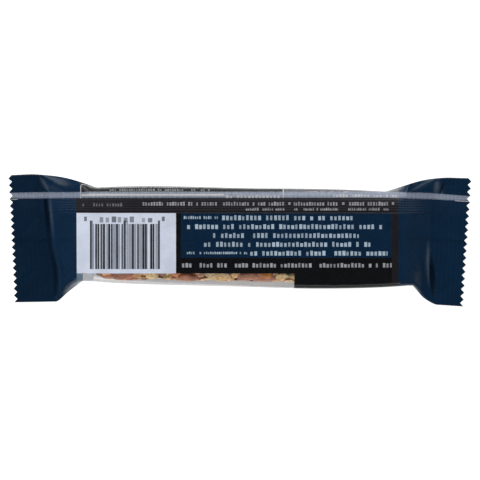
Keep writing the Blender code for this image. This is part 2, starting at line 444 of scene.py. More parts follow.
def film_grid(back, shares, rows):
    """The strips at all rows: points, v over the film, and marks."""
    strips = [film_strip(float(x), back, shares) for x in rows]
    return [np.stack(part) for part in zip(*strips)]


def made_object(name, points, faces, material, places=None, marks=None):
    """An object from points in millimetres; places become its UV map, and marks its attribute."""
    mesh = bpy.data.meshes.new(name)
    mesh.from_pydata((np.asarray(points) * MM).tolist(), [], faces)
    if places is not None:
        layer = mesh.uv_layers.new(name="film")
        corner = np.empty(len(mesh.loops), dtype=np.int32)
        mesh.loops.foreach_get("vertex_index", corner)
        layer.data.foreach_set("uv", np.asarray(places)[corner].ravel())
    if marks is not None:
        layer = mesh.color_attributes.new("marks", "FLOAT_COLOR", "POINT")
        colours = np.column_stack([marks, np.ones(len(marks))])
        layer.data.foreach_set("color", colours.astype(np.float32).ravel())
    mesh.polygons.foreach_set("use_smooth", [True] * len(mesh.polygons))
    mesh.materials.append(material)
    mesh.update()
    mesh.set_sharp_from_angle(angle=SHARP_FROM)
    made = bpy.data.objects.new(name, mesh)
    bpy.context.scene.collection.objects.link(made)
    return made


def grid_faces(rows, columns, start=0, flip=False):
    """Faces between the points of a grid that is stored row after row."""
    faces = []
    for row in range(rows - 1):
        for column in range(columns - 1):
            here = start + row * columns + column
            face = (here, here + columns, here + columns + 1, here + 1)
            faces.append(face[::-1] if flip else face)
    return faces


def film_part(name, points, faces, places, marks, material):
    """One piece of the film's tube, with only the points that its faces use."""
    used = np.unique(np.array([corner for face in faces for corner in face]))
    number = np.full(len(points), -1)
    number[used] = np.arange(len(used))
    kept = [tuple(int(number[corner]) for corner in face) for face in faces]
    return made_object(name, points[used], kept, material, places[used], marks[used])


def film_pieces(back_material, front_material, window_material):
    """The tube of film round the bar: its printed back and front, and the clear window."""
    shares = film_shares()
    rows = film_rows()
    back, back_v, back_marks = film_grid(True, shares, rows)
    front, front_v, front_marks = film_grid(False, shares, rows)
    count = len(shares)
    around = 2 * count - 2
    ring = np.concatenate([back, front[:, 1:-1][:, ::-1]], axis=1).reshape(-1, 3)
    ring_v = np.concatenate([back_v, front_v[:, 1:-1][:, ::-1]], axis=1)
    marks = np.concatenate([back_marks, front_marks[:, 1:-1][:, ::-1]], axis=1).reshape(-1, 3)
    places = np.stack([np.repeat(rows, around), ring_v.ravel()], axis=1)
    window_share = share_of(WINDOW_V) + 1e-6
    on_back, on_front, clear = [], [], []
    for row in range(len(rows) - 1):
        along = WINDOW_X[0] - 1e-6 < rows[row] and rows[row + 1] < WINDOW_X[1] + 1e-6
        for column in range(around):
            here = row * around + column
            beside = row * around + (column + 1) % around
            face = (here, here + around, beside + around, beside)
            if column < count - 1:
                in_window = along and shares[column + 1] < window_share
            else:
                in_window = along and shares[around - column] < FRONT_WINDOW_SHARE
            printed = on_back if column < count - 1 else on_front
            (clear if in_window else printed).append(face)
    for row, order in ((0, 1), (len(rows) - 1, -1)):
        first = row * around
        for column in range(count - 1):
            below = first + (around - column) % around
            loop = [first + column, first + column + 1, first + around - column - 1, below]
            on_back.append(tuple(dict.fromkeys(loop))[::order])
    pieces = [
        film_part("film_back", ring, on_back, places, marks, back_material),
        film_part("film_front", ring, on_front, places, marks, front_material),
        film_part("film_window", ring, clear, places, marks, window_material),
    ]
    return pieces, (back, back_v, back_marks, rows)


def surface_normals(grid):
    down = np.gradient(grid, axis=0)
    across = np.gradient(grid, axis=1)
    normal = np.cross(down, across)
    normal /= np.linalg.norm(normal, axis=2, keepdims=True)
    return normal * np.sign(normal[..., 2:3].mean())


def level_at(line, x):
    """y of a line along the pack, given by a few places on it."""
    return float(np.interp(x, [spot[0] for spot in line], [spot[1] for spot in line]))


def fin_band(sheet, start, stop, count):
    """The part of the back film's grid under the fin, from one line along the pack to another."""
    back, back_v, back_marks, rows = sheet
    normals = surface_normals(back)
    points, over, away, marks = [], [], [], []
    for row in range(len(rows)):
        x = float(rows[row])
        wanted = np.linspace(level_at(start, x), level_at(stop, x), count)
        y = back[row, :, 1]
        line = [np.interp(wanted, y, back[row, :, axis]) for axis in range(3)]
        turn = [np.interp(wanted, y, normals[row, :, axis]) for axis in range(3)]
        mark = [np.interp(wanted, y, back_marks[row, :, kind]) for kind in range(3)]
        points.append(np.stack(line, axis=1))
        away.append(np.stack(turn, axis=1))
        marks.append(np.stack(mark, axis=1))
        over.append(np.interp(wanted, y, back_v[row]))
    return np.array(points), np.array(over), np.array(away), np.concatenate(marks), rows


def fin_height(share, rows):
    """How far the fin stands off the back: less on the pressed crimps, sunk in at its root."""
    rise = smooth(0.0, 0.18, share)
    full = np.array([fullness(float(x)) for x in rows])
    top = FIN_ROOT_SINK + CRIMPED_FIN_LIFT + (FIN_LIFT - CRIMPED_FIN_LIFT) * full
    return top[:, None] * rise[None, :] - FIN_ROOT_SINK


def back_fin_piece(sheet, material):
    """The printed part of the folded fin, a closed thin slab that lies on the back."""
    count = FIN_COLUMNS
    points, over, away, marks, rows = fin_band(sheet, FIN_ROOT, FIN_PRINT_EDGE, count)
    height = fin_height(np.linspace(0.0, 1.0, count), rows)[..., None]
    outer = points + away * height
    inner = points + away * (height - FIN_SHEET)
    count_rows = len(rows)
    total = count_rows * count
    faces = grid_faces(count_rows, count) + grid_faces(count_rows, count, total, True)
    edge = list(range(count)) + [row * count + count - 1 for row in range(1, count_rows)]
    edge += [(count_rows - 1) * count + column for column in range(count - 2, -1, -1)]
    edge += [row * count for row in range(count_rows - 2, 0, -1)]
    for here, after in zip(edge, edge[1:] + edge[:1]):
        faces.append((here, after, after + total, here + total))
    place = np.stack([np.repeat(rows, count), over.ravel()], axis=1)
    both = np.concatenate([outer.reshape(-1, 3), inner.reshape(-1, 3)])
    places = np.concatenate([place, place])
    return made_object("back_fin", both, faces, material, places, np.concatenate([marks, marks]))


def fin_margin_piece(sheet, material):
    """The clear margin of the fin, whose free edge dips to the film beneath."""
    count = MARGIN_COLUMNS
    points, over, away, _, rows = fin_band(sheet, FIN_PRINT_EDGE, FIN_EDGE, count)
    share = np.linspace(0.0, 1.0, count)
    dip = FREE_EDGE_DIP * smooth(0.9, 1.0, share)
    height = fin_height(share + 1.0, rows) - dip[None, :]
    sheet_points = points + away * height[..., None]
    place = np.stack([np.repeat(rows, count), over.ravel()], axis=1)
    faces = grid_faces(len(rows), count)
    marks = np.zeros((len(rows) * count, 3))
    marks[:, 0] = np.tile(share, len(rows))
    return made_object("fin_margin", sheet_points.reshape(-1, 3), faces, material, place, marks)


# The nut bar
BAR_CENTRE = np.array((2.9, 1.2, 7.0))
BAR_HALF = np.array((54.6, 16.15, 6.4))
BAR_ROUND = 4.0
CORE_INSET = 1.1
CORE_STEP = 0.9
CORE_END_ROUND = 2.4
LUMP_SEED = 21
LUMP_SIZE = 2.6
LUMP_HEIGHT = 0.9
POINTS_AT_A_TIME = 1500
SECTION_STEPS = 96
NUT_SPACING = 4.2
STANDS_PROUD = 0.35
NUT_TRIES = 3000
NUT_SEED = 5
NUT_END_MARGIN = 3.0
NUT_RINGS = 12
NUT_SIDES = 16
ALMOND_SIDES = 18
DEEPEST_NUT = 1.1


def bar_place(points):
    """From the bar's own frame to the pack's: the bar lies a little askew in the pack."""
    placed = points + BAR_CENTRE
    placed[..., 1] += BODY_SKEW * placed[..., 0]
    return placed


def kept_in_bar(points, inset):
    """Points pushed in to the bar's rounded outline, as a press leaves them flat against it."""
    half = BAR_HALF - inset
    inner = half - BAR_ROUND
    over = np.abs(points) - inner
    beyond = np.maximum(over, 0.0)
    reach = np.linalg.norm(beyond, axis=1)
    far = reach > BAR_ROUND
    out = points.copy()
    drawn_in = beyond * (BAR_ROUND / np.maximum(reach, 1e-9))[:, None]
    held = np.sign(points) * (np.minimum(np.abs(points), inner) + drawn_in)
    out[far] = held[far] + STANDS_PROUD * (points[far] - held[far])
    return out


def bar_section(inset, steps):
    """y, z and outward direction at even steps round the bar's rounded section."""
    half = BAR_HALF[1:] - inset
    radius = BAR_ROUND - inset * 0.5
    flat = half - radius
    corner_run = radius * math.pi / 2
    runs = [2 * flat[0], corner_run, 2 * flat[1], corner_run] * 2
    ends = np.cumsum(runs)
    place, away = [], []
    for step in range(steps):
        along = (step + 0.5) / steps * ends[-1]
        part = int(np.searchsorted(ends, along))
        inside = along - (ends[part] - runs[part])
        on_corner = part % 2 == 1
        turn = part // 2 * math.pi / 2 - math.pi / 2 + (inside / radius if on_corner else 0.0)
        direction = np.array((math.cos(turn), math.sin(turn)))
        spot = np.array(SQUARE_CORNERS[(part + 1) // 2 % 4]) * flat + direction * radius
        if not on_corner:
            spot = spot + np.array((-direction[1], direction[0])) * inside
        place.append(spot)
        away.append(direction)
    return np.array(place), np.array(away)


def lumps(points, seed, size):
    """Rounded lumps about one size across, from 0 in the gaps to 1 on top of a lump."""
    draw = np.random.default_rng(seed)
    low = points.min(axis=0) - size
    span = points.max(axis=0) + size - low
    seeds = low + draw.random((int(span.prod() / size**3 * 1.6), 3)) * span
    nearest = np.full(len(points), 1e9)
    for start in range(0, len(points), POINTS_AT_A_TIME):
        block = points[start : start + POINTS_AT_A_TIME]
        gaps = np.linalg.norm(block[:, None, :] - seeds[None, :, :], axis=2)
        nearest[start : start + POINTS_AT_A_TIME] = gaps.min(axis=1)
    return np.clip(1.0 - (nearest / size) ** 2, 0.0, 1.0)


def bar_core(material):
    """The pressed body of the bar, rough with crushed nuts between the whole ones."""
    around = int(2 * (BAR_HALF[1] + BAR_HALF[2]) * 2 / CORE_STEP)
    section, away = bar_section(CORE_INSET, around)
    length = BAR_HALF[0] - CORE_INSET
    count = int(2 * length / CORE_STEP)
    rings, outward = [], []
    for step in range(count + 1):
        x = -length + 2 * length * step / count
        from_end = length - abs(x)
        draw_in = CORE_END_ROUND * max(0.0, 1.0 - from_end / CORE_END_ROUND) ** 2
        spot = section - away * draw_in
        rings.append(np.column_stack([np.full(around, x), spot]))
        outward.append(np.column_stack([np.zeros(around), away]))
    points = np.concatenate(rings)
    push = np.concatenate(outward)
    rough = lumps(points, LUMP_SEED, LUMP_SIZE)
    points = points - push * (LUMP_HEIGHT * (1.0 - rough))[:, None]
    faces = []
    for ring in range(count):
        for column in range(around):
            here = ring * around + column
            beside = ring * around + (column + 1) % around
            faces.append((here, beside, beside + around, here + around))
    for ring, order in ((0, -1), (count, 1)):
        centre = len(points)
        middle = points[ring * around : (ring + 1) * around].mean(axis=0)
        points = np.concatenate([points, middle[None]])
        for column in range(around):
            face = (ring * around + column, ring * around + (column + 1) % around, centre)
            faces.append(face[::order])
    return made_object("bar_core", bar_place(points), faces, material)


def ball(rings, sides):
    """A closed ball of radius 1: its points and faces."""
    points = [(0.0, 0.0, 1.0)]
    for ring in range(1, rings):
        tilt = math.pi * ring / rings
        for side in range(sides):
            turn = 2 * math.pi * side / sides
            level = math.sin(tilt)
            points.append((level * math.cos(turn), level * math.sin(turn), math.cos(tilt)))
    points.append((0.0, 0.0, -1.0))
    faces = [(0, 1 + side, 1 + (side + 1) % sides) for side in range(sides)]
    for ring in range(rings - 2):
        first = 1 + ring * sides
        for side in range(sides):
            after = (side + 1) % sides
            faces.append((first + side, first + sides + side, first + sides + after, first + after))
    last = len(points) - 1
    first = last - sides
    faces += [(first + side, last, first + (side + 1) % sides) for side in range(sides)]
    return np.array(points), faces


def any_direction(draw):
    direction = draw.normal(size=3)
    return direction / np.linalg.norm(direction)


def almond(draw):
    """A whole or halved almond: pointed at one end, ridged, with a flat pale face if halved."""
    points, faces = ball(NUT_RINGS, ALMOND_SIDES)
    points = points[:, [2, 0, 1]]
    taper = 1.0 - 0.42 * np.clip(points[:, 0], 0, 1) ** 1.4
    points = points * np.stack([np.ones(len(points)), taper, taper], axis=1)
    turn = np.arctan2(points[:, 2], points[:, 1])
    points[:, 1:] *= (1.0 + 0.025 * np.sin(11 * turn))[:, None]
    cut = np.zeros(len(points))
    if draw.random() < 0.45:
        level = draw.uniform(-0.1, 0.25)
        high = points[:, 2] > level
        cut[high] = 1.0
        points[high, 2] = level
    size = np.array((draw.uniform(4.6, 5.8), draw.uniform(2.9, 3.5), draw.uniform(2.0, 2.6)))
    return points * size, faces, cut


def nut_chunk(draw):
    """A chopped piece of nut, flat where the knife went through, with some skin left on."""
    points, faces = ball(NUT_RINGS, NUT_SIDES)
    cut = np.zeros(len(points))
    for _ in range(6):
        direction = any_direction(draw)
        reach = draw.uniform(0.35, 0.8)
        over = points @ direction - reach
        beyond = over > 0
        points[beyond] -= over[beyond, None] * direction
        cut[beyond] = 1.0
    size = draw.uniform(0.75, 1.2) * np.array((3.2, 2.5, 2.3))
    return points * size, faces, cut


def peanut_half(draw):
    """Half a blanched kernel, pale and smooth."""
    points, faces = ball(NUT_RINGS, NUT_SIDES)
    waist = 1.0 - 0.12 * np.exp(-((points[:, 0] / 0.35) ** 2))
    points = points * np.stack([np.ones(len(points)), waist, waist], axis=1)
    size = np.array((draw.uniform(3.7, 4.6), draw.uniform(2.6, 3.1), draw.uniform(2.0, 2.5)))
    return points * size, faces, np.ones(len(points))


def fruit_bit(draw):
    """A soft, wrinkled cube of dried fruit."""
    points, faces = ball(NUT_RINGS, NUT_SIDES)
    points = np.sign(points) * np.abs(points) ** 0.75
    for _ in range(4):
        direction = any_direction(draw)
        points *= (1.0 + 0.10 * np.sin(4.0 * points @ direction + draw.uniform(0, 6)))[:, None]
    size = draw.uniform(0.85, 1.25) * np.array((2.7, 2.2, 1.9))
    return points * size, faces, np.zeros(len(points))


NUT_KINDS = (
    ("almonds", almond, 0.32),
    ("nut_chunks", nut_chunk, 0.40),
    ("peanut_halves", peanut_half, 0.14),
    ("fruit_bits", fruit_bit, 0.14),
)


def turned_to(points, outward, forward):
    """Points turned so that their z looks outward and their x lies along forward."""
    side = np.cross(outward, forward)
    side /= np.linalg.norm(side)
    forward = np.cross(side, outward)
    return points @ np.stack([forward, side, outward])


def nut_places(draw):
    """Spots all over the bar, no two closer than the spacing, with outward directions."""
    section, away = bar_section(0.0, SECTION_STEPS)
    run = 2 * math.pi * BAR_ROUND + 4 * (BAR_HALF[1] + BAR_HALF[2] - 2 * BAR_ROUND)
    chosen, found = [], []
    for _ in range(NUT_TRIES):
        x = draw.uniform(-BAR_HALF[0] + NUT_END_MARGIN, BAR_HALF[0] - NUT_END_MARGIN)
        step = int(draw.integers(SECTION_STEPS))
        around = step / SECTION_STEPS * run
        gap = [math.hypot(x - px, min(abs(around - pa), run - abs(around - pa))) for px, pa in chosen]
        if not gap or min(gap) > NUT_SPACING:
            chosen.append((x, around))
            spot = np.array((x, *section[step]))
            found.append((spot, np.array((0.0, *away[step]))))
    return found


def scattered_nuts(materials):
    """One object for each kind of nut and fruit, pressed into the surface of the bar."""
    draw = np.random.default_rng(NUT_SEED)
    gathered = {name: ([], [], [], 0) for name, _, _ in NUT_KINDS}
    odds = np.array([share for _, _, share in NUT_KINDS])
    for spot, outward in nut_places(draw):
        name, shape, _ = NUT_KINDS[int(draw.choice(len(NUT_KINDS), p=odds / odds.sum()))]
        points, faces, cut = shape(draw)
        turn = draw.normal(0.0, 0.55)
        forward = np.array((math.cos(turn), *(math.sin(turn) * np.array((-outward[2], outward[1])))))
        depth = points[:, 2].max() * draw.uniform(0.55, 0.95)
        placed = spot + turned_to(points, outward, forward) - outward * depth
        placed = bar_place(kept_in_bar(placed, draw.uniform(0.0, DEEPEST_NUT)))
        all_points, all_faces, all_tones, first = gathered[name]
        all_points.append(placed)
        all_faces += [tuple(corner + first for corner in face) for face in faces]
        tone = np.full(len(points), draw.random())
        all_tones.append(np.stack([tone, cut, np.zeros(len(points))], axis=1))
        gathered[name] = (all_points, all_faces, all_tones, first + len(points))
    made = []
    for name, _, _ in NUT_KINDS:
        points, faces, tones, _ = gathered[name]
        joined = np.concatenate(points)
        made.append(made_object(name, joined, faces, materials[name], marks=np.concatenate(tones)))
    return made


def sum_of(operation, turned=False):
    """A method that adds the node for one sum; turned puts the other number first."""

    def method(self, *others):
        inputs = (*others, self) if turned else (self, *others)
        node = self.paint.node("ShaderNodeMath", {"operation": operation}, dict(enumerate(inputs)))
        return Value(self.paint, node.outputs[0])

    return method


class Value:
    """A number that changes over a surface: sums on it add the nodes that work it out."""

    def __init__(self, paint, socket):
        self.paint = paint
        self.socket = socket

    __add__ = sum_of("ADD")
    __radd__ = sum_of("ADD", True)
    __sub__ = sum_of("SUBTRACT")
    __rsub__ = sum_of("SUBTRACT", True)
    __mul__ = sum_of("MULTIPLY")
    __rmul__ = sum_of("MULTIPLY", True)
    __truediv__ = sum_of("DIVIDE")
    __gt__ = sum_of("GREATER_THAN")
    __lt__ = sum_of("LESS_THAN")
    __abs__ = sum_of("ABSOLUTE")
    floor = sum_of("FLOOR")
    fraction = sum_of("FRACT")
    sine = sum_of("SINE")
    power = sum_of("POWER")
    lower = sum_of("MINIMUM")
    higher = sum_of("MAXIMUM")

    def between(self, low, high):
        return (self > low) * (self < high)

    def ramp(self, low, high, start=0.0, stop=1.0):
        """A smooth change from start to stop as the value goes from low to high."""
        node = self.paint.node(
            "ShaderNodeMapRange",
            {"interpolation_type": "SMOOTHSTEP"},
            {"Value": self, "From Min": low, "From Max": high, "To Min": start, "To Max": stop},
        )
        return Value(self.paint, node.outputs[0])


class Nodes:
    """A node tree, with one way to add any node and one to feed any input."""

    def __init__(self, tree):
        self.tree = tree

    def node(self, kind, settings=None, sockets=None):
        made = self.tree.nodes.new(kind)
        for name, value in (settings or {}).items():
            setattr(made, name, value)
        for name, value in (sockets or {}).items():
            self.feed(made.inputs[name], value)
        return made

    def feed(self, socket, value):
        if isinstance(value, Value):
            self.tree.links.new(value.socket, socket)
        elif isinstance(value, bpy.types.NodeSocket):
            self.tree.links.new(value, socket)
        elif isinstance(value, tuple) and len(value) == 3 and socket.type == "RGBA":
            socket.default_value = (*value, 1.0)
        else:
            socket.default_value = value


class Paint(Nodes):
    """A material's nodes, with the surface shader that they feed."""

    def __init__(self, name):
        self.material = bpy.data.materials.new(name)
        self.material.use_nodes = True
        super().__init__(self.material.node_tree)
        self.shader = self.tree.nodes["Principled BSDF"]

    def film_place(self):
        """x and v over the film, in millimetres."""
        place = self.node("ShaderNodeUVMap", {"uv_map": "film"})
        parts = self.node("ShaderNodeSeparateXYZ", None, {0: place.outputs[0]})
        return Value(self, parts.outputs[0]), Value(self, parts.outputs[1]), place.outputs[0]

    def marks(self):
        """Numbers kept on a mesh: sunk, raised and painted gusset highlight on film, the share across on
        the margin, tone and cut on nuts."""
        kept = self.node("ShaderNodeAttribute", {"attribute_name": "marks"})
        parts = self.node("ShaderNodeSeparateColor", None, {0: kept.outputs["Color"]})
        return [Value(self, output) for output in parts.outputs]

    def object_place(self):
        return self.node("ShaderNodeTexCoord").outputs["Object"]

    def noise(self, place, scale, detail=2.0):
        sockets = {"Vector": place, "Scale": scale, "Detail": detail}
        return Value(self, self.node("ShaderNodeTexNoise", None, sockets).outputs[0])

    def cells(self, place, scale, feature="F1"):
        return self.node("ShaderNodeTexVoronoi", {"feature": feature}, {"Vector": place, "Scale": scale})

    def chance(self, *numbers):
        """A number from 0 to 1 that looks random and stays the same for the same inputs."""
        joined = self.node("ShaderNodeCombineXYZ", None, dict(enumerate(numbers))).outputs[0]
        found = self.node("ShaderNodeTexWhiteNoise", {"noise_dimensions": "3D"}, {"Vector": joined})
        return Value(self, found.outputs[0])

    def steps(self, place, stops):
        """Four numbers that step from one set to the next at the stops along place."""
        ramp = self.node("ShaderNodeValToRGB", None, {"Fac": place})
        ramp.color_ramp.interpolation = "CONSTANT"
        ramp.color_ramp.elements.remove(ramp.color_ramp.elements[1])
        for number, (position, numbers) in enumerate(stops):
            elements = ramp.color_ramp.elements
            stop = elements[0] if number == 0 else elements.new(position)
            stop.position = position
            stop.color = numbers
        parts = self.node("ShaderNodeSeparateColor", None, {0: ramp.outputs["Color"]})
        found = [Value(self, output) for output in parts.outputs]
        return (*found, Value(self, ramp.outputs["Alpha"]))

    def tint(self, factor, under, over):
        """The colour under, covered by the colour over as far as factor says."""
        mix = self.node("ShaderNodeMix", {"data_type": "RGBA"})
        self.feed(mix.inputs["Factor"], factor)
        self.feed(mix.inputs[6], under)
        self.feed(mix.inputs[7], over)
        return mix.outputs[2]

    def shade(self, factor, colour):
        """The colour multiplied by a number."""
        mix = self.node("ShaderNodeVectorMath", {"operation": "SCALE"})
        self.feed(mix.inputs[0], colour)
        self.feed(mix.inputs["Scale"], factor)
        return mix.outputs[0]

    def bump(self, height, distance, strength=1.0, normal=None):
        sockets = {"Height": height, "Distance": distance * MM, "Strength": strength}
        if normal is not None:
            sockets["Normal"] = normal
        return self.node("ShaderNodeBump", None, sockets).outputs[0]

    def surface(self, **sockets):
        names = {
            "colour": "Base Color",
            "roughness": "Roughness",
            "normal": "Normal",
            "alpha": "Alpha",
            "coat": "Coat Weight",
            "coat_roughness": "Coat Roughness",
            "specular": "Specular IOR Level",
            "emission": "Emission Color",
            "emission_strength": "Emission Strength",
        }
        for name, value in sockets.items():
            self.feed(self.shader.inputs[names[name]], value)
        return self.material


# Inks and films, linear colours, with the grey of painted highlights and the painted shade of the crimps
NAVY = (0.0040, 0.0235, 0.0600)
BLACK = (0.0058, 0.0062, 0.0078)
FIN_BLACK = (0.0165, 0.0150, 0.0190)
WARM_BLACK = (0.0155, 0.0140, 0.0170)
FACTS_BLUE = (0.0034, 0.0200, 0.0520)
LABEL_WHITE = (0.77, 0.83, 0.98)
BAR_INK = (0.008, 0.009, 0.014)
PALE_BLUE = (0.53, 0.66, 0.79)
PALE_GREY = (0.46, 0.47, 0.51)
DIM_GREY = (0.25, 0.25, 0.27)
MARGIN_GREY = (0.50, 0.57, 0.73)
TEAL_TAB = (0.155, 0.23, 0.30)
WINDOW_GREY = (0.31, 0.34, 0.40)
SIDE_BLACK = (0.010, 0.010, 0.012)
SIDE_GREY = (0.105, 0.105, 0.118)
SIDE_WHITE = (0.60, 0.61, 0.63)
# Grey of painted highlights: on raised ridges and pleats, the left gusset's folded edge and the knurl's
# crests
PAINTED_HIGHLIGHT_GREY = (0.40, 0.44, 0.49)
# Painted shade on the left and right crimps, standing for the shade between their ribs
CRIMP_PAINTED_SHADES = (0.66, 0.86)
FILM_SPECULAR = 0.22

# Small print as blocks of small marks. Each has its seed, the v of its lowest line, the pitch of its
# lines, and the lines themselves: start and stop along x, height, and width of a mark.
FACTS_LINES = (
    (3.6, 52.4, 1.8, 1.42),
    (-12.8, 46.3, 1.8, 1.42),
    (-9.6, 42.2, 1.8, 1.42),
    (-18.8, 52.1, 1.8, 1.42),
    (-6.4, 40.2, 1.8, 1.42),
)
FACTS_PRINT = (11.5, -4.73, 3.14, FACTS_LINES)
NOTE_PRINT = (21.5, -4.65, 12.56, ((-18.8, 2.6, 0.9, 0.75), (-19.9, -7.8, 1.1, 0.78)))
SLOGAN_PRINT = (31.5, -9.03, 3.0, ((-20.6, 53.9, 1.6, 1.25),))
FIN_PRINT = (41.5, 10.85, 1.95, ((2.1, 53.7, 0.95, 0.66), (-34.5, 53.3, 1.35, 0.95)))
CODE_PRINT = (46.5, 12.5, 2.0, ((-55.8, -41.6, 1.45, 0.95),))
LEFT_SIDE_LINES = (
    (-5.0, 14.6, 1.1, 1.30),
    (2.0, 1.0, 0.8, 0.75),
    (-46.2, -10.5, 1.2, 0.85),
    (-52.0, 12.0, 0.8, 0.75),
)
LEFT_SIDE_PRINT = (51.5, 15.2, 1.4, LEFT_SIDE_LINES)
RIGHT_SIDE_LINES = ((33.0, 56.0, 1.0, 1.10), (23.1, 39.1, 0.8, 0.80), (20.0, 54.0, 0.8, 0.75))
RIGHT_SIDE_PRINT = (61.5, 15.6, 1.7, RIGHT_SIDE_LINES)
DIGIT_PRINT = (75.5, 7.2, 2.6, ((-49.9, -30.6, 2.1, 2.14),))
FRONT_LINES = ((24.0, 48.0, 1.4, 1.2), (24.0, 52.0, 1.4, 1.2), (24.0, 51.0, 3.4, 3.1))
FRONT_PRINT = (81.5, -54.0, 5.6, FRONT_LINES)

# Other marks and fields of the print, and what the sealing wheels leave on it
OUTER_DIGITS = (-54.7, -27.1)
OUTER_DIGIT_V = (6.6, 8.2)
SIDE_FROM_V = 14.6
SIDE_INK_FROM_V = 14.0
TAB_X = (PANEL_X[0], WINDOW_X[0])
TAB_V = (-70.0, WINDOW_V)
RULE_X = (-56.0, -5.5)
RULE_V = (15.5, 16.2)
FRAME_LINE = 0.15
# From this x outward, the colour has lighter and darker stripes at the ribs' pitch
RIB_STRIPES_FROM = 69.0
FIN_KNURL = (1.05, 1.75)
MARGIN_RIB_PITCH = 1.3
SEAL_GAPS = (((-81.0, -78.2), (14.75, 15.0)), ((75.6, 80.9), (14.25, 14.5)))
FIN_DOTS = ((17.6, 12.8), (36.7, 12.8), (54.3, 12.8))
LINE_REACH = 100.0
LINE_TALLEST = 4.0


def in_box(x, v, xs, vs):
    return x.between(*xs) * v.between(*vs)


def print_block(paint, x, v, seed, lowest, pitch, lines):
    """Lines of small plain blocks in groups, as small print looks from far off."""
    row = (v - (lowest - pitch / 2)) / pitch
    line = row.floor()
    stops = []
    for number, (start, stop, height, letter) in enumerate(lines):
        ends = ((start / LINE_REACH + 1) / 2, (stop / LINE_REACH + 1) / 2)
        stops.append((number / len(lines), (*ends, height / LINE_TALLEST, letter / LINE_TALLEST)))
    start, stop, height, letter = paint.steps((line + 0.5) / len(lines), stops)
    start = start * (2 * LINE_REACH) - LINE_REACH
    stop = stop * (2 * LINE_REACH) - LINE_REACH
    cell = (x - start) / (letter * LINE_TALLEST)
    number = cell.floor()
    inside = cell - number
    off_middle = (row - line - 0.5) * (pitch / LINE_TALLEST) / height
    group = paint.chance(number, line, seed) > 0.14
    turn = paint.chance(number, line, seed + 1.0)
    shown = (x > start) * (x < stop) * row.between(0.0, len(lines))
    tall = off_middle.between(-0.5, 0.22 + (turn * 7.0).fraction() * 0.28)
    block = inside.between(0.10, 0.62 + turn * 0.24)
    return shown * group * block * tall * (0.62 + turn * 0.38)


def side_print(paint, x, v):
    left = print_block(paint, x, v, *LEFT_SIDE_PRINT)
    return left.higher(print_block(paint, x, v, *RIGHT_SIDE_PRINT))


def bar_code(paint, x, v):
    """Upright bars of a code that stands for nothing: black ones among grey bands of finer ones."""
    along = (x - BARS_X[0]) / (BARS_X[1] - BARS_X[0])
    from_middle = abs(along - 0.5)
    guard = (from_middle > 0.46) + (from_middle < 0.03)
    inked = 0.0
    for cells, shown, least, spread, ink in BAR_ROWS:
        cell = along * cells
        number = cell.floor()
        width = paint.chance(number, cells, 7.5) * spread + least
        bar = (paint.chance(number, cells, 13.5) < guard + shown) * (cell - number < width)
        inked = (bar * ink).higher(inked)
    top = BARS_V[1] + (GUARD_BARS_V - BARS_V[1]) * guard
    return inked * (from_middle < 0.5) * v.between(BARS_V[0], top)


def film_grain(paint, place):
    """Slow and fine unevenness of ink on film, about 1."""
    slow = paint.noise(place, 0.11, 3.0)
    fine = paint.noise(place, 2.2, 2.0)
    return slow.ramp(0.3, 0.7, 0.93, 1.07) * fine.ramp(0.25, 0.75, 0.95, 1.05)


def painted_film_shade(paint, x, v):
    """Painted shade: the crimps darker, as if shaded between their ribs, and the creases darker where shade
    falls in them; also a painted dark reflection along the middle near each end, and stripes at the ribs'
    pitch.
    """
    sunk = paint.marks()[0]
    left = x.ramp(CRIMP_ROOTS[LEFT] - 0.3, CRIMP_ROOTS[LEFT] + 0.5, CRIMP_PAINTED_SHADES[LEFT], 1.0)
    right = x.ramp(CRIMP_ROOTS[RIGHT] - 0.5, CRIMP_ROOTS[RIGHT] + 0.3, 1.0, CRIMP_PAINTED_SHADES[RIGHT])
    # A painted dark reflection along the film's middle line near each end
    middle = abs(v).ramp(0.15, 0.9, 0.16, 0.0) * (abs(x) > DARK_REFLECTION_FROM)
    # Lighter and darker stripes at the pitch of the crimp's ribs, near the pack's ends
    ribs = (x / RIB_PITCH * (2 * math.pi)).sine() * (abs(x) > RIB_STRIPES_FROM)
    rib_stripes = ribs * v.ramp(-2.0, 8.0, 0.0, 0.09)
    return left * right * (1.0 - sunk * 0.68) * (1.0 - middle + rib_stripes)


def side_frame(x, v):
    """The fine frame round the side's table, and the heavy rule in it."""
    rule = in_box(x, v, RULE_X, RULE_V)
    half = (NUTRITION_X[1] - NUTRITION_X[0]) / 2 - FRAME_ROUND
    past_x = (abs(x - sum(NUTRITION_X) / 2) - half).higher(0.0)
    past_v = (v - (FRAME_TOP_V - FRAME_ROUND)).higher(0.0)
    edge = abs((past_x * past_x + past_v * past_v).power(0.5) - FRAME_ROUND) < FRAME_LINE
    return rule.higher(edge * (v > SIDE_INK_FROM_V))


def panel_ink(paint, x):
    """Navy ends, and between them the black panel with its warmer right edge."""
    ink = paint.tint(x.between(*PANEL_X), NAVY, BLACK)
    return paint.tint(x.between(FACTS_X[1], PANEL_X[1]), ink, WARM_BLACK)


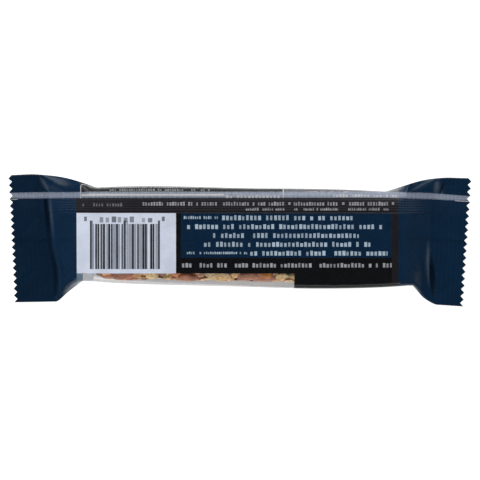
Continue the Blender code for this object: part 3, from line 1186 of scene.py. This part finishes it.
def back_colour(paint, x, v, place):
    """The ink on the back and sides: the label, the facts field and their small print, with painted shade
    on crimps and creases and painted highlights on ridges, pleats and the gusset's edge.
    """
    ink = panel_ink(paint, x)
    ink = paint.tint((x < NUTRITION_X[0]) * (v > SIDE_INK_FROM_V), ink, NAVY)
    on_side = v > SIDE_FROM_V
    ink = paint.tint(x.between(*NUTRITION_X) * on_side, ink, SIDE_BLACK)
    ink = paint.tint(x.between(NUTRITION_X[1], PANEL_X[1]) * on_side, ink, SIDE_GREY)
    ink = paint.tint(in_box(x, v, FACTS_X, FACTS_V), ink, FACTS_BLUE)
    facts = print_block(paint, x, v, *FACTS_PRINT)
    notes = print_block(paint, x, v, *NOTE_PRINT)
    ink = paint.tint(facts.higher(notes) * 0.9, ink, PALE_BLUE)
    slogan = print_block(paint, x, v, *SLOGAN_PRINT)
    ink = paint.tint(slogan * 0.95, ink, PALE_GREY)
    side = (side_print(paint, x, v) * 0.4).higher(side_frame(x, v) * 0.9)
    ink = paint.tint(side, ink, SIDE_WHITE)
    # Painted shade on the crimps and in the creases
    ink = paint.shade(painted_film_shade(paint, x, v), ink)
    # Painted highlights: raised ridges and pleats, and the left gusset's folded edge, are tinted toward a
    # light grey
    _, raised, sheen = paint.marks()
    ink = paint.tint((raised * 0.2).higher(sheen * 0.42), ink, PAINTED_HIGHLIGHT_GREY)
    ink = paint.tint(in_box(x, v, LABEL_X, LABEL_V), ink, LABEL_WHITE)
    digits = print_block(paint, x, v, *DIGIT_PRINT)
    for digit_x in OUTER_DIGITS:
        digits = digits.higher(in_box(x, v, (digit_x - 0.5, digit_x + 0.5), OUTER_DIGIT_V))
    ink = paint.tint(bar_code(paint, x, v).higher(digits * 0.75), ink, BAR_INK)
    ink = paint.tint(in_box(x, v, TAB_X, TAB_V), ink, TEAL_TAB)
    return paint.shade(film_grain(paint, place), ink)


def front_colour(paint, x, v, place):
    """The ink on the front: the same navy ends and black panel, with rows of plain blocks, and painted
    shade on crimps and creases.
    """
    marks = print_block(paint, x, v, *FRONT_PRINT)
    ink = paint.tint(marks * 0.9, panel_ink(paint, x), PALE_BLUE)
    ink = paint.tint(in_box(x, v, TAB_X, TAB_V), ink, TEAL_TAB)
    # Painted shade on the crimps and in the creases, with the ink's grain
    return paint.shade(painted_film_shade(paint, x, v) * film_grain(paint, place), ink)


def fin_colour(paint, x, v, place):
    """The ink on the folded fin, with its two lines of small print, painted shade on its crimped ends and a
    painted highlight where it is raised.
    """
    marks = print_block(paint, x, v, *FIN_PRINT)
    for dot_x, dot_v in FIN_DOTS:
        marks = marks * (abs(x - dot_x) > 1.6)
        marks = marks.higher((abs(x - dot_x) < 0.4) * (abs(v - dot_v) < 0.4))
    ink = paint.tint(x.between(*PANEL_X), NAVY, FIN_BLACK)
    ink = paint.tint(marks * 0.85, ink, PALE_GREY)
    for gap in SEAL_GAPS:
        ink = paint.tint(in_box(x, v, *gap), ink, SIDE_WHITE)
    code = print_block(paint, x, v, *CODE_PRINT)
    ink = paint.tint(code * 0.65, ink, DIM_GREY)
    # Painted shade on the crimps and in the creases, with the ink's grain
    ink = paint.shade(painted_film_shade(paint, x, v) * film_grain(paint, place), ink)
    # Painted highlight where the fin is raised
    return paint.tint(paint.marks()[1] * 0.2, ink, PAINTED_HIGHLIGHT_GREY)


def knurl(x, v):
    """The diamond pattern that the sealing wheels leave along the fin."""
    along = x / FIN_KNURL[0]
    across = v / FIN_KNURL[1]
    return ((along + across) * (2 * math.pi)).sine() * ((along - across) * (2 * math.pi)).sine()


def printed_film(name, ink):
    """Glossy film with its print; ink gives the colour at x, v: the print, with painted shade and
    highlights.
    """
    paint = Paint(name)
    x, v, place = paint.film_place()
    colour = ink(paint, x, v, place)
    roughness = paint.noise(place, 0.35, 3.0).ramp(0.3, 0.7, 0.24, 0.32)
    slack = paint.noise(place, 0.09, 2.0)
    fine = paint.noise(place, 1.1, 3.0)
    normal = paint.bump(fine, 0.02, 0.5, paint.bump(slack, 1.0, 0.5))
    return paint.surface(colour=colour, roughness=roughness, normal=normal, specular=FILM_SPECULAR)


def fin_film():
    """The same film, pressed by the sealing wheels, with painted light and shade on the knurl's relief and
    painted glints on it.
    """
    paint = Paint("fin_film")
    x, v, place = paint.film_place()
    pressed = knurl(x, v) * abs(x).ramp(60.0, 68.0, 1.0, 0.0)
    # Painted light and shade follow the knurl's relief, and painted glints sit on its crests, stronger past
    # the black panel
    colour = paint.shade(1.0 + pressed * 0.5, fin_colour(paint, x, v, place))
    painted_glint = pressed.higher(0.0) * (0.03 + (x > PANEL_X[1]) * 0.10)
    colour = paint.tint(painted_glint, colour, PAINTED_HIGHLIGHT_GREY)
    normal = paint.bump(pressed, 0.06, 0.8)
    roughness = paint.noise(place, 0.5, 3.0).ramp(0.3, 0.7, 0.30, 0.40)
    return paint.surface(colour=colour, roughness=roughness, normal=normal, specular=FILM_SPECULAR)


def margin_film():
    """Clear film, sealed to itself and hazy from the sealing wheels."""
    paint = Paint("margin_film")
    x, v, place = paint.film_place()
    ribs = ((x / MARGIN_RIB_PITCH) * (2 * math.pi)).sine()
    cloud = paint.noise(place, 0.8, 3.0)
    frame_marks = side_frame(x, v).higher(side_print(paint, x, v))
    across = paint.marks()[0]
    body = (across * (1.0 - across) * 4.0).power(0.7) * 0.34 + 0.20
    alpha = cloud.ramp(0.25, 0.75, 0.88, 1.12) * body + ribs * 0.02 + frame_marks * 0.3
    colour = paint.tint(frame_marks, MARGIN_GREY, SIDE_WHITE)
    normal = paint.bump(knurl(x, v), 0.05, 0.5)
    return paint.surface(colour=colour, roughness=0.38, normal=normal, alpha=alpha)


def window_film():
    """Clear film: greyer where seen at a slant; along the pack's lower edge and over its empty end it is
    made greyer as painted shadow of the pack on the floor seen through it.
    """
    paint = Paint("window_film")
    x, v, place = paint.film_place()
    facing = Value(paint, paint.node("ShaderNodeLayerWeight", None, {"Blend": 0.5}).outputs["Facing"])
    haze = paint.noise(place, 0.5, 3.0).ramp(0.3, 0.7, 0.02, 0.06)
    # Painted shadow: over the empty end and along the foot the film turns greyer, standing for the pack's
    # shadow on the floor beneath
    empty = x.ramp(EMPTY_WINDOW_X[0], EMPTY_WINDOW_X[1], 0.5, 0.0)
    foot = v.ramp(*WINDOW_SHADOW_V[:2], 0.0, 0.68) * v.ramp(*WINDOW_SHADOW_V[2:], 1.0, 0.0)
    alpha = (haze + facing.ramp(0.06, 0.36, 0.0, 0.32)).higher(empty).higher(foot)
    normal = paint.bump(paint.noise(place, 0.12, 2.0), 1.2, 0.4)
    return paint.surface(colour=WINDOW_GREY, roughness=0.16, normal=normal, alpha=alpha, specular=0.3)


# Each kind of nut: its finish, how grainy it is, dark and light skin, pale and golden flesh
NUT_LOOKS = {
    "almonds": (
        "almond_skin", 0.9, (0.16, 0.025, 0.008), (0.66, 0.20, 0.045), (1.0, 0.78, 0.42), (0.95, 0.50, 0.13)
    ),
    "nut_chunks": (
        "chopped_nut", 0.9, (0.34, 0.07, 0.015), (0.80, 0.34, 0.08), (1.0, 0.72, 0.32), (0.92, 0.42, 0.09)
    ),
    "peanut_halves": (
        "blanched_nut", 0.9, (0.72, 0.46, 0.20), (0.90, 0.64, 0.32), (1.0, 0.76, 0.38), (0.95, 0.56, 0.18)
    ),
    "fruit_bits": (
        "dried_fruit", 0.4, (0.55, 0.12, 0.01), (0.95, 0.40, 0.03), (0.85, 0.4, 0.06), (0.6, 0.2, 0.02)
    ),
}

# Crushed nuts of the core: the size of their cells, and colours by share
CRUMB_SCALE = 420.0
DARKEST_CRUMBS = (0.34, 0.13, 0.05)
OTHER_CRUMBS = ((0.35, (0.64, 0.38, 0.19)), (0.68, (0.84, 0.65, 0.42)), (0.9, (0.70, 0.28, 0.05)))


def nut_material(name, grain, skin_dark, skin_light, pale, golden):
    """A nut's skin and its cut flesh, each between two colours, under a thin coat of syrup."""
    paint = Paint(name)
    tone, cut, _ = paint.marks()
    place = paint.object_place()
    streaks = paint.noise(place, 900.0, 4.0)
    blotches = paint.noise(place, 330.0, 3.0)
    patches = blotches.ramp(0.35, 0.65)
    skin = paint.tint((tone * 0.5 + patches * 0.5).lower(1.0), skin_dark, skin_light)
    flesh = paint.tint((tone * 0.45 + patches * 0.55).lower(1.0), pale, golden)
    colour = paint.tint(cut.ramp(0.35, 0.65), skin, flesh)
    colour = paint.shade(streaks.ramp(0.3, 0.7, 1.0 - 0.45 * grain, 1.0 + 0.15 * grain), colour)
    normal = paint.bump(streaks, 0.25, 0.5, paint.bump(blotches, 0.8, 0.6))
    return paint.surface(colour=colour, roughness=0.42, normal=normal, coat=0.3, coat_roughness=0.14)


def core_material():
    """Crushed nuts held by syrup: small pieces of many browns, glossy between them."""
    paint = Paint("crushed_nuts")
    place = paint.object_place()
    pieces = paint.cells(place, CRUMB_SCALE)
    pick = paint.node("ShaderNodeSeparateColor", None, {0: pieces.outputs["Color"]})
    pick = Value(paint, pick.outputs[0])
    colour = DARKEST_CRUMBS
    for least, crumbs in OTHER_CRUMBS:
        colour = paint.tint(pick > least, colour, crumbs)
    fine = paint.noise(place, 1500.0, 3.0)
    colour = paint.shade(fine.ramp(0.3, 0.7, 0.7, 1.1), colour)
    edge = Value(paint, paint.cells(place, CRUMB_SCALE, "DISTANCE_TO_EDGE").outputs["Distance"])
    normal = paint.bump(edge.ramp(0.0, 0.25), 0.5, 0.7, paint.bump(fine, 0.2, 0.4))
    return paint.surface(colour=colour, roughness=0.38, normal=normal, coat=0.4, coat_roughness=0.15)


# Camera and studio
CAMERA_HEIGHT = 2400.0
VIEW_WIDTH = 170.69
SENSOR = 36.0
VIEW_OFFSET = (0.09, -0.09)
FLOOR_SIDE = 24.0
FLOOR_HEIGHT = -0.05
FLOOR_GLOW = 0.95
TENT_DARK = 0.06
TENT_LIGHT = 4.5
TENT_OPENING = (0.66, 0.50)
TENT_FOOT = (0.24, 0.46, 0.06, 1.0)
TENT_ENDS = (0.28, 0.56, 1.0, 0.03)
KEY = ((-0.7, 1.62, 1.88), (2.6, 1.15), 3.85)


def studio_camera():
    data = bpy.data.cameras.new("camera")
    data.sensor_width = SENSOR
    data.lens = SENSOR * (CAMERA_HEIGHT - FOLD_HEIGHT) / VIEW_WIDTH
    data.clip_start = 0.1
    data.clip_end = 50.0
    camera = bpy.data.objects.new("camera", data)
    camera.location = (VIEW_OFFSET[0] * MM, VIEW_OFFSET[1] * MM, CAMERA_HEIGHT * MM)
    bpy.context.scene.collection.objects.link(camera)
    bpy.context.scene.camera = camera


def softbox(name, place, size, level):
    """A rectangle of even light that faces the pack; level is about the brightness it shows."""
    data = bpy.data.lights.new(name, "AREA")
    data.shape = "RECTANGLE"
    data.size, data.size_y = size
    data.energy = level * math.pi * size[0] * size[1]
    light = bpy.data.objects.new(name, data)
    light.location = place
    light.rotation_euler = (-Vector(place)).to_track_quat("-Z", "Y").to_euler()
    bpy.context.scene.collection.objects.link(light)


def studio_light():
    """A light tent, bright at the sides and dark round the camera, so that black film stays black."""
    world = bpy.data.worlds.new("tent")
    world.use_nodes = True
    tent = Nodes(world.node_tree)
    direction = tent.node("ShaderNodeTexCoord").outputs["Generated"]
    parts = tent.node("ShaderNodeSeparateXYZ", None, {0: direction})
    along, up = Value(tent, parts.outputs[0]), Value(tent, parts.outputs[2])
    level = up.ramp(*TENT_OPENING) * up.ramp(*TENT_FOOT) * abs(along).ramp(*TENT_ENDS)
    background = tent.tree.nodes["Background"]
    tent.feed(background.inputs["Color"], (1.0, 1.0, 1.0))
    tent.feed(background.inputs["Strength"], level * TENT_LIGHT + TENT_DARK)
    bpy.context.scene.world = world
    softbox("key", *KEY)


def white_floor():
    paint = Paint("white_floor")
    paint.surface(colour=(0.4, 0.4, 0.4), roughness=0.9, specular=0.0)
    paint.surface(emission=(1.0, 1.0, 1.0), emission_strength=FLOOR_GLOW)
    half = FLOOR_SIDE / 2 / MM
    corners = [(x * half, y * half, FLOOR_HEIGHT) for x, y in SQUARE_CORNERS]
    made_object("floor", corners, [(0, 1, 2, 3)], paint.material)


bpy.context.scene.view_settings.view_transform = "Standard"
studio_camera()
studio_light()
white_floor()
films, sheet = film_pieces(
    printed_film("back_print", back_colour), printed_film("front_print", front_colour), window_film()
)
fin = back_fin_piece(sheet, fin_film())
margin = fin_margin_piece(sheet, margin_film())
core = bar_core(core_material())
nuts = scattered_nuts({name: nut_material(*look) for name, look in NUT_LOOKS.items()})
for piece in (*films, fin, margin, core, *nuts):
    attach(piece, BODY)
    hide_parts("wrapper")
